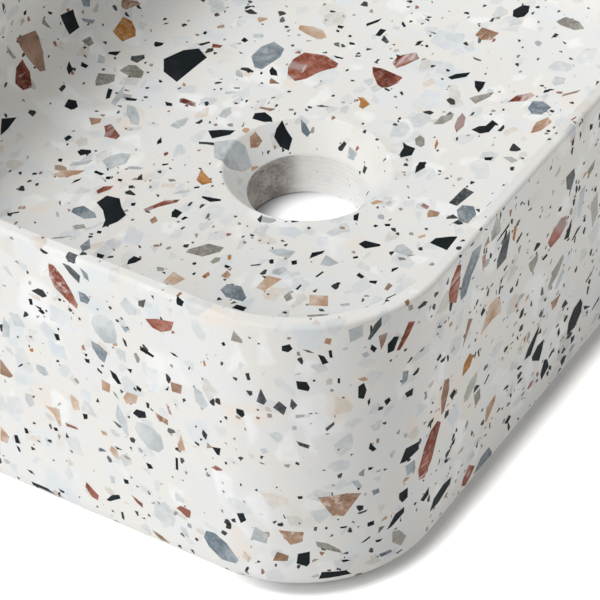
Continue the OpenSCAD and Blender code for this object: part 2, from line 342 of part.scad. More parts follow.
// Stones laid by hand on the outer wall, with u along the wall from the middle
// of the -X -Y corner, towards +X where it is positive, and v the height
OUTER_STONES = [
    ["black", [
        [[-70.5, 91.5], [-65, 89.5], [-65.5, 88.5], [-70.5, 89.5]],
        [[-83, 75.5], [-80.5, 74.5], [-78.5, 71], [-80, 70.5], [-82, 72.5]],
        [[-74.5, 60], [-73, 62.5], [-69.5, 63], [-69, 60.5], [-72, 59]],
        [[-81.5, 19.5], [-81, 18], [-85.5, 14.5], [-87, 14.5], [-84.5, 18]],
        [[-118.5, 8], [-111.5, 8], [-108.5, 6], [-118, 6]],
        [[-56, 118], [-53, 117.5], [-53.5, 115.5], [-55.5, 115.5]],
        [[-43.5, 59.5], [-40, 60.5], [-40.5, 57], [-41.5, 57]],
        [[-34.5, 33.5], [-32, 34.5], [-31, 31.5], [-33, 29.5]],
        [[-18.5, 110.5], [-16, 111.5], [-15, 109.5], [-16.5, 108], [-18.5, 108.5]],
        [[-14, 96], [-10.5, 95.5], [-9.5, 93], [-10, 91.5], [-13.5, 92.5]],
        [[-34, 80.5], [-31.5, 80.5], [-31, 78.5], [-32, 77], [-34, 78.5]],
        [[6.5, 90.5], [8.5, 91.5], [9.5, 88], [8.5, 84.5], [6.5, 85.5]],
        [[-7, 107], [-5, 106], [-3.5, 103], [-5.5, 102.5]],
        [[-13.5, 19], [-9.5, 20], [-9.5, 14.5], [-10.5, 13], [-14, 14.5]],
        [[-5.5, 10], [3, 9], [5, 6.5], [-6.5, 6.5]],
        [[23, 49], [25.5, 54.5], [32, 53.5], [32, 50], [25.5, 48.5]],
        [[23, 35.5], [27, 36], [27, 31.5], [24.5, 30.5], [23, 33]],
        [[18, 21.5], [21.5, 27], [25.5, 28], [25.5, 25.5], [20, 22]],
        [[33.5, 25.5], [38.5, 28], [38.5, 24.5], [35.5, 23.5]],
        [[39.5, 15.5], [42, 19.5], [48.5, 21], [54.5, 20], [53.5, 17.5], [45.5, 15]],
        [[11, 107], [13, 104.5], [12, 103], [10.5, 105]],
        [[17, 104.5], [19.5, 106.5], [21.5, 105.5], [19.5, 100.5], [17, 100.5]],
        [[24.5, 79.5], [28.5, 79.5], [28, 76.5], [25.5, 77]],
        [[11, 64.5], [13.5, 60.5], [12, 60], [10.5, 62]],
        [[48.5, 32], [51, 31.5], [51.5, 29.5], [49.5, 30]],
        [[52, 35], [54.5, 36.5], [56.5, 36.5], [55.5, 34.5]],
        [[51, 59.5], [54.5, 60.5], [55, 58], [53, 56]],
        [[10.5, 28.5], [13, 28.5], [13, 26.5], [10.5, 26.5]],
        [[41, 83], [43.5, 84], [44.5, 82], [42, 81.5]],
        [[43.5, 80.5], [47.5, 80], [46.5, 78.5], [44.5, 79]],
        [[80.5, 105.5], [89.5, 107.5], [89, 106], [81.5, 105]],
        [[137, 76.5], [137, 73], [135.5, 69], [131.5, 70.5]],
        [[108, 38], [116.5, 43.5], [115.5, 40], [110.5, 33.5], [105.5, 34.5]],
        [[111.5, 31.5], [115.5, 34], [120.5, 33.5], [119.5, 29.5], [117.5, 25.5], [112, 29.5]],
        [[138.5, 21.5], [139.5, 27], [143, 31], [148.5, 32], [150, 28.5], [149.5, 25],
         [145, 21]],
        [[121.5, 23], [124, 21.5], [125.5, 17], [120, 14.5], [119, 18]],
        [[108.5, 82], [110.5, 84], [113.5, 82], [113, 81], [109.5, 81]],
        [[115, 73.5], [119, 73.5], [119.5, 72], [116.5, 72]],
        [[137.5, 66], [142, 68.5], [145, 68], [139, 65.5]],
        [[146, 69], [148, 71], [148, 67.5], [147, 68]],
        [[100, 35], [102.5, 34.5], [104.5, 33], [101.5, 33]],
        [[92.5, 15], [96, 16.5], [97.5, 14.5], [95, 13]],
        [[131, 28], [132.5, 29.5], [133, 27], [131.5, 26]],
        [[135, 16], [137, 17.5], [138.5, 15.5], [136, 15]],
        [[151, 26.5], [154, 24.5], [157, 22], [152, 24]],
        [[158, 19.5], [164, 22], [164, 20.5], [159, 19]],
        [[146.5, 111], [149, 110], [149, 108], [147, 108]],
        [[71, 81], [73, 82.5], [74.5, 80], [72, 79]],
        [[75.5, 46], [79, 48.5], [79.5, 47.5], [76.5, 45.5]],
        [[-105, 81.5], [-103, 82], [-102.5, 79.5], [-104, 79]],
        [[-124.5, 27], [-123, 27.5], [-122, 24], [-124, 23.5]],
        [[-114.5, 92.5], [-113, 93], [-112.8, 90.5], [-114, 90]],
        [[-111, 89], [-109, 90], [-108, 89], [-109, 88]],
        [[-121, 59.5], [-119, 62], [-118.5, 61.5], [-120, 60]],
        [[-107.5, 38.5], [-106, 38.8], [-105.5, 37.5], [-107, 37]],
        [[-102.3, 38.5], [-101, 36.5], [-102.5, 36]],
        [[-120, 32.5], [-118.5, 32.5], [-118, 30.5], [-119.5, 30]],
        [[-123.8, 22.5], [-122.5, 22], [-122, 20], [-123, 20]],
        [[-120, 13], [-118, 13.2], [-116.5, 12], [-118.5, 12]],
        [[-95, 50.5], [-93, 51], [-93, 49], [-94.5, 48]],
        [[-93, 76], [-91, 76.3], [-91, 74.5], [-92.5, 74.5]],
        [[-88, 74.2], [-86, 72.8], [-86.3, 72], [-88, 73]],
        [[-76, 79], [-74, 79.7], [-74.5, 77.5]],
        [[-72.5, 73.5], [-70.5, 72.5], [-71, 71], [-72.5, 71.5]],
        [[-77.5, 92], [-76, 91], [-75.5, 88.5], [-76.5, 89]],
        [[-59, 94], [-57, 94], [-55.5, 93], [-57.5, 93]],
        [[-70, 40], [-68, 40], [-67, 38.5], [-69, 37.5]],
        [[-58, 48], [-57, 48], [-57, 42.5], [-58, 42.5]],
        [[-79.5, 28], [-77.5, 28.2], [-77.3, 26.5], [-79, 26]],
        [[-107, 10.2], [-104.5, 10], [-104.5, 9], [-106, 9]],
        [[-39, 106.5], [-38, 107.5], [-37.3, 106.3], [-38.3, 105.5]],
        [[-3.6, 108.2], [-2.5, 108.2], [-2.2, 104.8], [-3.2, 105.2]],
        [[-0.5, 95.8], [0.3, 95.8], [0.3, 93.5], [-0.5, 93.8]],
        [[9.8, 83], [10.8, 84.2], [10.8, 82], [10.2, 80.7]],
        [[16, 80.5], [18, 81.3], [18.7, 79.5], [17, 78]],
        [[25, 92], [27.3, 93.8], [27.8, 92.8], [26, 91.8]],
        [[-50.3, 59], [-48.3, 58.5], [-48.5, 57.3], [-50, 58]],
        [[-13.7, 45.3], [-12, 45.5], [-11.8, 44.3], [-13.3, 44]],
        [[6.5, 36.1], [7.8, 37.2], [8.7, 36.2], [7.2, 35.6]],
        [[0.5, 29.8], [3.3, 29.6], [2.8, 28.8], [1, 28.9]],
        [[8, 20], [11.5, 22], [11.7, 21.2], [9.5, 20]],
        [[13.5, 19], [16.5, 18.5], [15.5, 17.5], [14, 17.8]],
        [[1, 14.3], [3, 14.1], [4.5, 13.2], [2, 13]],
        [[10.5, 53.6], [12.5, 53], [11.5, 52.1], [10.5, 52.3]],
    ]],
    ["slate", [
        [[-98, 119.5], [-95, 119.5], [-94.5, 116], [-97.5, 115.5], [-98.5, 117]],
        [[-100, 114], [-97, 114], [-93, 111.5], [-93.5, 108], [-97, 110.5]],
        [[-25.5, 91.5], [-23.5, 86.5], [-24.5, 84.5], [-27, 85.5]],
        [[-19.5, 87], [-17, 84.5], [-18, 81], [-21.5, 84]],
        [[-15.5, 88.5], [-13.5, 85.5], [-15, 83.5], [-16, 85]],
        [[-4.5, 75], [-1.5, 77.5], [-1.5, 76], [-4, 73.5]],
        [[-14, 70], [-9.5, 68], [-10, 66.5], [-13, 68]],
        [[9.5, 109.5], [12, 115], [14.5, 117], [14.5, 113.5], [10.5, 109]],
        [[81.5, 96.5], [85, 101.5], [90, 104], [90, 100.5], [88, 93], [81.5, 92.5]],
        [[130.5, 99], [136.5, 99], [137.5, 95], [135, 90.5], [131.5, 93]],
        [[-70.5, 110.5], [-67.5, 112.5], [-68.5, 108.5], [-70.5, 108.5]],
        [[-12, 109.4], [-10, 109], [-8, 107.6], [-10, 108]],
        [[6.5, 34.4], [10.5, 34.7], [10, 33.8], [7.5, 33.5]],
        [[22, 8.4], [25, 8.8], [25, 7.9], [23, 7.5]],
    ]],
    ["blue_grey", [
        [[-93, 115], [-90, 113.5], [-89.5, 110.5], [-91.5, 111.5]],
        [[-94, 104.5], [-91.5, 104.5], [-89.5, 103], [-90.5, 100.5], [-93.5, 100.5]],
        [[-90, 85], [-86.5, 84.5], [-83.5, 82.5], [-85, 77.5], [-87, 78.5], [-89.5, 82]],
        [[-46.5, 20], [-43, 20.5], [-38.5, 18], [-34, 12], [-35, 10], [-40.5, 9.5],
         [-45.5, 13], [-47.5, 16.5]],
        [[25.5, 46.5], [30, 46.5], [30.5, 42], [26.5, 41.5]],
        [[23.5, 89.5], [26, 88.5], [25.5, 84.5], [23, 83.5]],
        [[57.5, 105.5], [63.5, 113], [70, 112], [68, 107], [63.5, 103], [60, 97], [56.5, 97],
         [56, 100.5]],
        [[70.5, 8], [75.5, 12], [81.5, 12.5], [83, 10], [83, 6.5], [75.5, 6.5]],
        [[-78, 97], [-74.5, 97], [-76, 94.5]],
        [[-54, 20], [-52.5, 20], [-52.3, 18], [-54, 18]],
        [[12, 42.5], [14.5, 42.5], [15, 40.5], [12.5, 40]],
        [[15, 11.8], [20, 11.5], [20.5, 10], [16, 10]],
    ]],
    ["pale_grey", [
        [[-75.5, 110], [-71.5, 106.5], [-71.5, 104], [-74.5, 103], [-78, 106]],
        [[-88.5, 96.5], [-85, 98.5], [-80.5, 97], [-79.5, 91.5], [-80, 88], [-84.5, 86.5],
         [-88, 89.5], [-89.5, 93]],
        [[-73, 57], [-68, 57.5], [-63.5, 55], [-62.5, 50], [-64.5, 47], [-68.5, 47],
         [-72, 50], [-74, 54]],
        [[-80.5, 61.5], [-77, 55.5], [-76.5, 48.5], [-78, 49.5], [-81.5, 55.5]],
        [[-57, 17], [-54.5, 17], [-53.5, 13], [-56, 13.5]],
        [[-50, 83], [-47, 82], [-44.5, 77], [-46.5, 74.5], [-49.5, 77]],
        [[-118.5, 49], [-115.5, 49.5], [-115, 45], [-117, 43], [-118.5, 45.5]],
        [[-125.5, 80], [-123, 77], [-123.5, 71.5], [-126.5, 70.5]],
        [[-28, 29.5], [-23.5, 27], [-24, 22.5], [-29.5, 23.5]],
        [[3, 115.5], [8, 116.5], [8, 111.5], [3.5, 110]],
        [[129, 55.5], [133.5, 58.5], [132, 53], [128.5, 50.5], [126.5, 52]],
        [[130, 118.5], [135.5, 118.5], [136, 113.5], [133, 113]],
        [[142, 84.5], [146.5, 85], [144.5, 73], [141.5, 73]],
        [[-123, 83], [-119, 83.5], [-116.5, 79], [-121, 78]],
        [[-113, 64.5], [-109.5, 64.5], [-108, 62], [-110, 60.5], [-113, 62]],
        [[-85, 27], [-83, 27], [-83, 24], [-84.5, 23.5]],
        [[-62.5, 22.5], [-60, 23], [-59.8, 21.5], [-62, 21]],
        [[7.5, 104], [9.5, 104.5], [10.5, 102.5], [8.5, 102]],
        [[4.5, 49.5], [7, 49], [8.5, 45.5], [6.5, 45.8]],
        [[18.5, 55.5], [20.5, 57], [21, 55], [19.5, 53.5]],
        [[-26, 65], [-24, 65.8], [-23.3, 64], [-25, 63]],
        [[-15.5, 76.3], [-14, 76.7], [-13.7, 75], [-15, 74.7]],
    ]],
    ["white_marble", [
        [[-106, 94], [-98, 93], [-95.5, 86], [-100, 84.5], [-106, 88]],
        [[-108, 77], [-101, 77.5], [-100, 72], [-106, 71.5]],
        [[-69, 83], [-64, 84], [-63, 74], [-68, 72.5]],
        [[50, 50], [56, 53], [58, 46], [54, 42]],
        [[36, 92], [40, 92], [40, 86], [36.5, 85]],
        [[-95, 62], [-91, 61], [-92, 56.5], [-95, 57.5]],
    ]],
    ["red", [
        [[-105.5, 111.5], [-103.5, 111.5], [-100, 108], [-97, 103.5], [-94.5, 98.5],
         [-95, 96.5], [-98.5, 98.5], [-103.5, 102], [-105.5, 106.5]],
        [[-68, 104], [-63.5, 106], [-57, 107.5], [-58, 103.5], [-62, 101], [-65.5, 101.5]],
        [[-95, 19], [-90, 15], [-90.5, 12.5], [-93, 13], [-95.5, 16.5]],
        [[-76.5, 22], [-72, 20], [-72, 18], [-74.5, 19.5]],
        [[35, 48.5], [38.5, 53.5], [43, 54.5], [45.5, 52], [43, 47], [40, 40], [35.5, 34.5],
         [32.5, 35.5], [32, 40.5], [34, 45.5]],
        [[25.5, 109.5], [28.5, 108], [25.5, 103.5], [22, 99.5], [20.5, 100]],
        [[49.5, 110.5], [53.5, 114.5], [56, 113], [55.5, 105.5], [53.5, 98.5], [48.5, 102],
         [48, 106.5]],
        [[119, 78], [123.5, 81.5], [128.5, 82.5], [133, 80.5], [132, 76], [128.5, 74],
         [121.5, 74]],
        [[63, 12], [67, 15.5], [71.5, 11.5], [65.5, 7], [62, 9.5]],
        [[-61, 70.5], [-60, 70], [-58.8, 66.5], [-60, 66.5]],
    ]],
    ["salmon", [
        [[-59, 81], [-54.5, 81.5], [-55, 77.5], [-58.5, 77]],
        [[-68.5, 9.5], [-64.5, 8.5], [-61.5, 6], [-65.5, 6]],
        [[-20.5, 19.5], [-16.5, 18], [-17, 15.5], [-22, 15]],
        [[47, 69.5], [50.5, 68], [50.5, 63], [47.5, 55.5], [45.5, 55], [45, 63]],
        [[13.5, 109.5], [17, 109.5], [16, 106], [14.5, 103]],
        [[62.5, 85], [65.5, 83], [60.5, 76.5], [59, 74], [60, 78.5]],
        [[124.5, 47], [131.5, 46.5], [128.5, 43], [125.5, 43]],
        [[-128, 60], [-123, 54.5], [-124.5, 53], [-128.5, 53]],
        [[-94, 81], [-93, 82], [-92.3, 79.5], [-93.8, 79.5]],
        [[13.3, 65], [14.5, 65], [14.3, 63], [13.4, 63]],
    ]],
    ["peach", [
        [[-76.5, 68.5], [-72, 69], [-73, 65], [-77, 63], [-78, 65.5]],
        [[-86.5, 69.5], [-83, 69], [-83.5, 65], [-86.5, 65]],
        [[-99.5, 57], [-96.5, 55.5], [-96, 51.5], [-98.5, 50.5], [-99.5, 53.5]],
        [[-110.5, 47], [-104.5, 48], [-104, 40.5], [-105, 40], [-107, 44.5]],
        [[-130, 28.5], [-126.5, 25], [-127.5, 21.5], [-130.5, 21.5]],
        [[-55.5, 59.5], [-54, 53], [-56.5, 51.5], [-57, 54]],
        [[-32, 17], [-29.5, 14.5], [-30.5, 12], [-32.5, 14]],
        [[-4.5, 113.5], [-2.5, 113], [-3, 110.5], [-5, 111.5]],
        [[71.5, 71], [77, 80], [83, 80], [86, 75], [86, 71], [80, 72]],
        [[-88, 46], [-85.5, 46.5], [-85, 45], [-87, 44.5]],
        [[-84, 41], [-81.5, 40], [-80.5, 36], [-82.5, 36], [-84.5, 38.5]],
        [[-30, 62], [-27.5, 61.5], [-28.3, 60], [-29.5, 60]],
    ]],
    ["ochre", [
        [[93, 103.5], [95, 101.5], [93.5, 96.5], [92, 98.5]],
        [[64.5, 68.5], [67, 65.5], [65, 62], [59.5, 61.5], [60.5, 66.5]],
        [[-115.5, 70], [-114, 71], [-113.8, 69.5], [-115, 69]],
        [[-46.2, 96], [-45.4, 96], [-45, 94], [-45.8, 93.8]],
    ]],
    ["tan", [
        [[-7, 44.5], [3, 44.5], [8, 43], [2, 34.5], [-2, 35.5]],
        [[-20, 29.5], [-11.5, 29], [-12, 24.5], [-16, 23]],
        [[-65.5, 64.5], [-60.5, 63.5], [-60.5, 61], [-64.5, 62]],
        [[78.5, 33.5], [85, 34.5], [84.5, 31.5], [79.5, 26.5], [77.5, 27]],
        [[70.5, 106], [73.5, 107], [73, 101.5], [71.5, 98.5]],
    ]],
    ["taupe", [
        [[-7.5, 24.5], [-3.5, 23], [0.5, 19.5], [1.5, 17.5], [-3.5, 20], [-7, 22]],
        [[20.5, 19.5], [23.5, 18.5], [27, 13.5], [24.5, 10.5], [20.5, 14.5]],
        [[-34.5, 113.5], [-31.5, 110.5], [-31.5, 109], [-35.5, 109]],
        [[105, 78.5], [112, 78.5], [112, 75.5], [108.5, 72], [106.5, 74.5]],
        [[121.5, 57], [125, 62], [131.5, 64.5], [132.5, 62], [128.5, 57.5], [121.5, 54.5]],
        [[68.5, 46.5], [73, 46.5], [73.5, 41.5], [70, 40]],
        [[147, 90.5], [153, 92], [152, 88.5], [148.5, 87.5]],
        [[-23.5, 81], [-22, 81.2], [-21.7, 79.5], [-23.3, 79.3]],
        [[-13.8, 108.3], [-12.9, 108.5], [-12.5, 106.6], [-13.6, 106.8]],
        [[25, 116.5], [27, 116], [27.5, 113.8], [25.5, 114]],
    ]],
    ["sage", [
        [[76.5, 111.5], [80, 117], [83, 111.5], [83, 108], [76.5, 108]],
        [[61.5, 51.5], [65, 55.5], [70.5, 56], [70, 52], [64.5, 47.5], [61.5, 48.5]],
        [[151.5, 73], [156.5, 75], [158, 64], [154, 60.5]],
        [[-82.2, 66.3], [-81, 66], [-79.7, 63.5], [-81.5, 64.7]],
        [[24.3, 61.5], [26, 61.3], [26.3, 59.5], [25, 59.2]],
    ]],
];

// Zones with stones laid by hand: on the floor along X and Y, along the outer
// wall, and on the +Y wall to each side of the middle and up from the cove's foot
hand_floor_x = [-88, 116];
hand_floor_y = -78;
hand_outer = [-134, 168];
hand_wall_x = 56;
hand_wall_v = 54;

// The scatter: the number it starts from, and how far a stone may stray
scatter_seed = 11;
stray = max(0, (scatter_pitch - scatter_longest) / 2 - 0.5);

// A closed line with round corners starts in the middle of the -X -Y corner. Its
// marks are where each straight and each corner begins, and its whole length.
function marks(hx, hy, r) =
    let(quarter = PI * r / 2, lx = 2 * (hx - r), ly = 2 * (hy - r), a = quarter / 2)
    [a, a + lx, a + lx + quarter, a + lx + quarter + ly, a + lx + 2 * quarter + ly,
     a + 2 * lx + 2 * quarter + ly, a + 2 * lx + 3 * quarter + ly,
     a + 2 * lx + 3 * quarter + 2 * ly, 2 * lx + 2 * ly + 4 * quarter];

// The point at s along the line, as [x, y, direction faced]
function arc_point(cx, cy, r, a) = [cx + r * cos(a), cy + r * sin(a), a];
function on_line(s, hx, hy, r) =
    let(
        m = marks(hx, hy, r),
        q = s < 0 ? s + m[8] : s > m[8] ? s - m[8] : s,
        turn = 180 / PI / r
    )
    q < m[0] ? arc_point(-hx + r, -hy + r, r, 225 + q * turn) :
    q < m[1] ? [-hx + r + q - m[0], -hy, 270] :
    q < m[2] ? arc_point(hx - r, -hy + r, r, 270 + (q - m[1]) * turn) :
    q < m[3] ? [hx, -hy + r + q - m[2], 0] :
    q < m[4] ? arc_point(hx - r, hy - r, r, (q - m[3]) * turn) :
    q < m[5] ? [hx - r - q + m[4], hy, 90] :
    q < m[6] ? arc_point(-hx + r, hy - r, r, 90 + (q - m[5]) * turn) :
    q < m[7] ? [-hx, hy - r - q + m[6], 180] :
               arc_point(-hx + r, -hy + r, r, 180 + (q - m[7]) * turn);

// The bowl's side at v up from the cove's foot, as [distance in from the rim's
// wall line, height, turn from the floor]
function bowl_side(v) =
    v < cove_arc ?
        let(a = v / cove_radius * 180 / PI)
        [cove_in - cove_radius * sin(a), cove_z - cove_radius * cos(a), a] :
        [cove_in - cove_radius * cos(wall_draft) - (v - cove_arc) * sin(wall_draft),
         cove_z - cove_radius * sin(wall_draft) + (v - cove_arc) * cos(wall_draft),
         cove_sweep];

// The middle of an outline's extent, and the outline moved by it
function column(o, k) = [for (p = o) p[k]];
function middle(o) = [(min(column(o, 0)) + max(column(o, 0))) / 2,
                      (min(column(o, 1)) + max(column(o, 1))) / 2];
function about(o, c) = [for (p = o) p - c];

// A scattered stone: its outline, and its kind by the shares
function chip(long, wide, turn, seed) =
    let(
        n = 4 + floor(rands(0, 3.99, 1, seed)[0]),
        slip = rands(-0.32, 0.32, n, seed + 1),
        reach = rands(0.7, 1, n, seed + 2)
    )
    [for (i = [0:n - 1])
        let(
            a = 360 * (i + slip[i]) / n,
            x = long / 2 * reach[i] * cos(a),
            y = wide / 2 * reach[i] * sin(a)
        )
        [x * cos(turn) - y * sin(turn), x * sin(turn) + y * cos(turn)]];
function kind_at(share, k = 0) =
    share < SHARES[k] || k == len(KINDS) - 1 ? KINDS[k] : kind_at(share - SHARES[k], k + 1);

// Stones scattered over a length by a height, as [kind, middle, longest, outline]
function scatter(from_u, to_u, from_v, to_v, seed) =
    let(
        cols = floor((to_u - from_u) / scatter_pitch),
        rows = floor((to_v - from_v) / scatter_pitch)
    )
    cols < 1 || rows < 1 ? [] :
    [for (i = [0:cols - 1], j = [0:rows - 1])
        let(
            id = seed + 10 * (40 * j + i),
            r = rands(0, 1, 6, id),
            u = from_u + (i + 0.5) * (to_u - from_u) / cols + (2 * r[0] - 1) * stray,
            v = from_v + (j + 0.5) * (to_v - from_v) / rows + (2 * r[1] - 1) * stray,
            long = scatter_shortest + (scatter_longest - scatter_shortest) * pow(r[2], 1.6),
            wide = long * (0.45 + 0.5 * r[3])
        )
        [kind_at(100 * r[5]), [u, v], long, chip(long, wide, 360 * r[4], id + 5)]];

outer_marks = marks(half_x, half_y, corner_radius);
bowl_marks = marks(bowl_x, bowl_y, bowl_corner_radius);
foot_clear = foot_radius - 1;
rim_clear = 5;
side_foot = 3;

// Each flat and each corner has a scatter of its own. On the outer wall they
// lie between the two ends of the part that is laid by hand.
outer_ends = [hand_outer[1], for (k = [1:6]) outer_marks[k], outer_marks[8] + hand_outer[0]];
side_ends = [-bowl_marks[0], for (k = [0:7]) bowl_marks[k]];
OUTER_SCATTER = [for (k = [0:6]) each scatter(outer_ends[k], outer_ends[k + 1], foot_clear,
                                              basin_height - rim_clear,
                                              scatter_seed + 3000 * k)];
SIDE_SCATTER = [for (k = [0:7]) each scatter(side_ends[k], side_ends[k + 1], side_foot,
                                             cove_arc + wall_run - rim_clear,
                                             scatter_seed + 30000 + 3000 * k)];
FLOOR_SCATTER = scatter(-flat_x, flat_x, -flat_y, flat_y, scatter_seed + 60000);

// Half of a profile with its round edges: the outer form's, from a corner's centre
module outer_profile() {
    difference() {
        square([corner_radius, basin_height]);
        translate([corner_radius - foot_radius, 0])
            difference() {
                translate([0, -proud]) square([foot_radius + proud, foot_radius + proud]);
                translate([0, foot_radius]) circle(foot_radius);
            }
        translate([corner_radius - outer_edge, basin_height - outer_edge])
            difference() {
                square([outer_edge + proud, outer_edge + proud]);
                circle(outer_edge);
            }
    }
}

// and the bowl's: floor, cove, sloping wall and the rim's inner edge
module bowl_profile() {
    foot = bowl_corner_radius - cove_in;
    side_x = foot + cove_radius * cos(wall_draft);
    side_z = cove_z - cove_radius * sin(wall_draft);
    edge_x = bowl_corner_radius - inner_edge * tan(wall_draft) + inner_edge / cos(wall_draft);
    edge_z = basin_height - inner_edge;
    translate([0, floor_thickness]) square([foot, cove_radius]);
    intersection() {
        translate([foot, cove_z]) circle(cove_radius);
        translate([0, floor_thickness]) square([bowl_corner_radius, cove_radius]);
    }
    polygon([
        [0, cove_z - proud], [foot, cove_z - proud], [foot, side_z], [side_x, side_z],
        [bowl_corner_radius, basin_height], [bowl_corner_radius, basin_height + proud],
        [0, basin_height + proud]
    ]);
    difference() {
        polygon([
            [edge_x - inner_edge * cos(wall_draft) - edge_slack / 2,
             edge_z + inner_edge * sin(wall_draft)],
            [edge_x, edge_z + inner_edge * sin(wall_draft)],
            [edge_x, basin_height + proud],
            [bowl_corner_radius - edge_slack / 2, basin_height + proud]
        ]);
        translate([edge_x, edge_z]) circle(inner_edge);
    }
}

// A solid that follows a closed line with round corners
module swept(hx, hy, r, low, high) {
    for (sx = [0, 1], sy = [0, 1])
        mirror([sx, 0, 0]) mirror([0, sy, 0])
            translate([hx - r, hy - r, 0]) rotate_extrude(angle = 90) children();
    for (side = [0, 1]) mirror([side, 0, 0])
        translate([hx - r, hy - r, 0]) rotate([90, 0, 0])
            linear_extrude(height = 2 * (hy - r)) children();
    for (side = [0, 1]) mirror([0, side, 0])
        translate([-hx + r, hy - r, 0]) rotate([90, 0, 90])
            linear_extrude(height = 2 * (hx - r)) children();
    translate([-hx + r, -hy + r, low]) cube([2 * (hx - r), 2 * (hy - r), high - low]);
}

module outer_form() {
    swept(half_x, half_y, corner_radius, 0, basin_height) outer_profile();
}

// The bowl with its waste hole, as the space to be taken out
module bowl_space() {
    swept(bowl_x, bowl_y, bowl_corner_radius, floor_thickness, basin_height + proud)
        bowl_profile();
    rotate_extrude() waste_profile();
}

// The waste hole: a straight bore and a countersink, with both edges rounded
module waste_profile() {
    bore = waste_diameter / 2;
    mouth = countersink_diameter / 2;
    seat_z = floor_thickness - countersink_depth;
    slope = atan2(countersink_depth, mouth - bore);
    run_low = hole_easing * tan((90 - slope) / 2);
    run_high = hole_easing * tan(slope / 2);
    polygon([
        [0, -proud], [bore, -proud], [bore, seat_z], [mouth, floor_thickness],
        [mouth, floor_thickness + proud], [0, floor_thickness + proud]
    ]);
    difference() {
        polygon([
            [bore - edge_slack, seat_z], [bore, seat_z - run_low],
            [bore + run_low * cos(slope), seat_z + run_low * sin(slope)]
        ]);
        translate([bore + hole_easing, seat_z - run_low]) circle(hole_easing);
    }
    difference() {
        polygon([
            [mouth - edge_slack, floor_thickness + edge_slack],
            [mouth - run_high * cos(slope), floor_thickness - run_high * sin(slope)],
            [mouth + run_high, floor_thickness]
        ]);
        translate([mouth + run_high, floor_thickness - hole_easing]) circle(hole_easing);
    }
}

// A stone's cutter on the outer wall, on the bowl's side and on the floor
module outer_cutter(outline, s, v) {
    p = on_line(s, half_x, half_y, corner_radius);
    translate([p[0], p[1], v]) rotate([0, 0, p[2]]) rotate([90, 0, 90])
        translate([0, 0, -set_depth]) linear_extrude(height = set_depth + proud)
            polygon(outline);
}
module side_cutter(outline, s, v) {
    p = on_line(s, bowl_x, bowl_y, bowl_corner_radius);
    q = bowl_side(v);
    translate([p[0] - q[0] * cos(p[2]), p[1] - q[0] * sin(p[2]), q[1]])
        rotate([0, 0, p[2]]) rotate([0, -q[2], 0]) rotate([0, 0, -90])
            translate([0, 0, -set_depth]) linear_extrude(height = set_depth + cove_proud)
                polygon(outline);
}
module floor_cutter(outline, depth = set_depth) {
    translate([0, 0, floor_thickness - depth])
        linear_extrude(height = depth + cove_stone_rise) polygon(outline);
}

// All the cutters of one kind of stone
module outer_cutters(kind) {
    for (group = OUTER_STONES) if (group[0] == kind)
        for (o = group[1]) if (min(column(o, 1)) < basin_height - 2)
            outer_cutter(about(o, middle(o)), middle(o)[0], middle(o)[1]);
    for (stone = OUTER_SCATTER) if (stone[0] == kind)
        outer_cutter(stone[3], stone[1][0], stone[1][1]);
}

// The middle of the +Y wall along the bowl's line
wall_middle = (bowl_marks[4] + bowl_marks[5]) / 2;

function hand_wall(p, v) = p[2] == 90 && abs(p[0]) < hand_wall_x && v < hand_wall_v;
function side_room(p, low) =
    (p[2] % 90 == 0 ? 1 : 0.9 - low / bowl_corner_radius) * (scatter_pitch - 2 * stray) - 1;
function on_flat(x, y, long) =
    abs(x) < flat_x - long / 2 && abs(y) < flat_y - long / 2 &&
    (abs(x) < flat_x - corner_foot || abs(y) < flat_y - corner_foot ||
     norm([abs(x) - flat_x + corner_foot, abs(y) - flat_y + corner_foot])
         < corner_foot - long / 2);
corner_foot = bowl_corner_radius - cove_in;

module inner_cutters(kind) {
    for (group = FLOOR_STONES) if (group[0] == kind)
        for (o = group[1])
            if (min([for (p = o) norm(p)]) > countersink_diameter / 2 - 0.5 &&
                min(column(o, 0)) > -flat_y + 2 && max(column(o, 0)) < flat_y &&
                max(column(o, 1)) < flat_x && min(column(o, 1)) > -flat_x)
                floor_cutter([for (p = o) [p[1], -p[0]]]);
    for (group = CONE_STONES) if (group[0] == kind)
        for (o = group[1]) floor_cutter([for (p = o) [p[1], -p[0]]], cone_stone_depth);
    for (group = WALL_FOOT_STONES) if (group[0] == kind)
        for (o = group[1]) floor_cutter([for (p = o) [p[1], flat_y - p[0]]]);
    for (group = WALL_STONES) if (group[0] == kind)
        for (o = group[1])
            side_cutter(about(o, middle(o)), wall_middle - middle(o)[0], middle(o)[1]);
    for (stone = SIDE_SCATTER) if (stone[0] == kind) {
        p = on_line(stone[1][0], bowl_x, bowl_y, bowl_corner_radius);
        low = bowl_side(stone[1][1] - stone[2] / 2)[0];
        if (!hand_wall(p, stone[1][1]) && stone[2] < side_room(p, low))
            side_cutter(stone[3], stone[1][0], stone[1][1]);
    }
    for (stone = FLOOR_SCATTER) if (stone[0] == kind) {
        x = stone[1][0];
        y = stone[1][1];
        r = stone[2] / 2;
        laid = x > hand_floor_x[0] - r && x < hand_floor_x[1] + r && y > hand_floor_y - r;
        if (!laid && on_flat(x, y, stone[2]) && norm([x, y]) > countersink_diameter / 2 + r + 2)
            floor_cutter(about(stone[3], -[x, y]));
    }
}

// The stones of one kind, ground flush with the surfaces they are set in
module stones(kind) {
    intersection() {
        outer_form();
        outer_cutters(kind);
    }
    difference() {
        inner_cutters(kind);
        bowl_space();
    }
}

